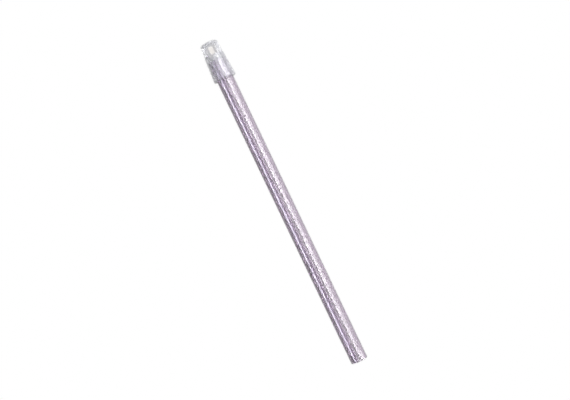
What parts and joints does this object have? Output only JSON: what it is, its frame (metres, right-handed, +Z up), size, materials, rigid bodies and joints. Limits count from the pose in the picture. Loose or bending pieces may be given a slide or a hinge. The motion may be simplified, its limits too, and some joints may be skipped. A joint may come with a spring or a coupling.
{
  "type": "saliva ejector",
  "caption": "Disposable bendable suction tube with a wire in its wall and a slotted clear tip cap.",
  "frame": {"origin": "centre of the tube's open suction end, on the tube's axis", "axes": "+X along the tube from the suction end to the tip cap; +Z up, with the wire on the upper side at 40 degrees from +Z towards +Y; the tube bends in the XY plane"},
  "size_m": [0.1325, 0.0088, 0.0088],
  "materials": {
    "tinted_pvc": "clear lavender PVC, glossy",
    "steel_wire": "drawn, zinc coated",
    "clear_pvc": "clear moulded PVC, slightly milky, glossy"
  },
  "bodies": {
    "rear_tube": {"tube_rear": "tinted_pvc", "wire_rear": "steel_wire"},
    "bend_link_1": {"tube_bend_1": "tinted_pvc", "wire_bend_1": "steel_wire"},
    "bend_link_2": {"tube_bend_2": "tinted_pvc", "wire_bend_2": "steel_wire"},
    "bend_link_3": {"tube_bend_3": "tinted_pvc", "wire_bend_3": "steel_wire"},
    "bend_link_4": {"tube_bend_4": "tinted_pvc", "wire_bend_4": "steel_wire"},
    "mouth_tube": {"tube_front": "tinted_pvc", "wire_front": "steel_wire"},
    "cap": {"tip_cap": "clear_pvc"}
  },
  "joints": [
    {"name": "bend_1", "type": "hinge", "parent": "rear_tube", "child": "bend_link_1", "pos_m": [0.07, 0, 0], "axis": [0, 0, 1], "range_deg": [-28, 28], "deforming": ["tube_bend_1", "wire_bend_1"]},
    {"name": "bend_2", "type": "hinge", "parent": "bend_link_1", "child": "bend_link_2", "pos_m": [0.079, 0, 0], "axis": [0, 0, 1], "range_deg": [-28, 28], "deforming": ["tube_bend_2", "wire_bend_2"]},
    {"name": "bend_3", "type": "hinge", "parent": "bend_link_2", "child": "bend_link_3", "pos_m": [0.088, 0, 0], "axis": [0, 0, 1], "range_deg": [-28, 28], "deforming": ["tube_bend_3", "wire_bend_3"]},
    {"name": "bend_4", "type": "hinge", "parent": "bend_link_3", "child": "bend_link_4", "pos_m": [0.097, 0, 0], "axis": [0, 0, 1], "range_deg": [-28, 28], "deforming": ["tube_bend_4", "wire_bend_4"]},
    {"name": "bend_5", "type": "hinge", "parent": "bend_link_4", "child": "mouth_tube", "pos_m": [0.106, 0, 0], "axis": [0, 0, 1], "range_deg": [-28, 28]},
    {"name": "cap_pull_off", "type": "slide", "parent": "mouth_tube", "child": "cap", "axis": [1, 0, 0], "range_m": [0, 0.02]}
  ],
  "couplings": [
    {"joint": "bend_2", "follows": "bend_1", "ratio": 1},
    {"joint": "bend_3", "follows": "bend_1", "ratio": 1},
    {"joint": "bend_4", "follows": "bend_1", "ratio": 1},
    {"joint": "bend_5", "follows": "bend_1", "ratio": 1}
  ]
}
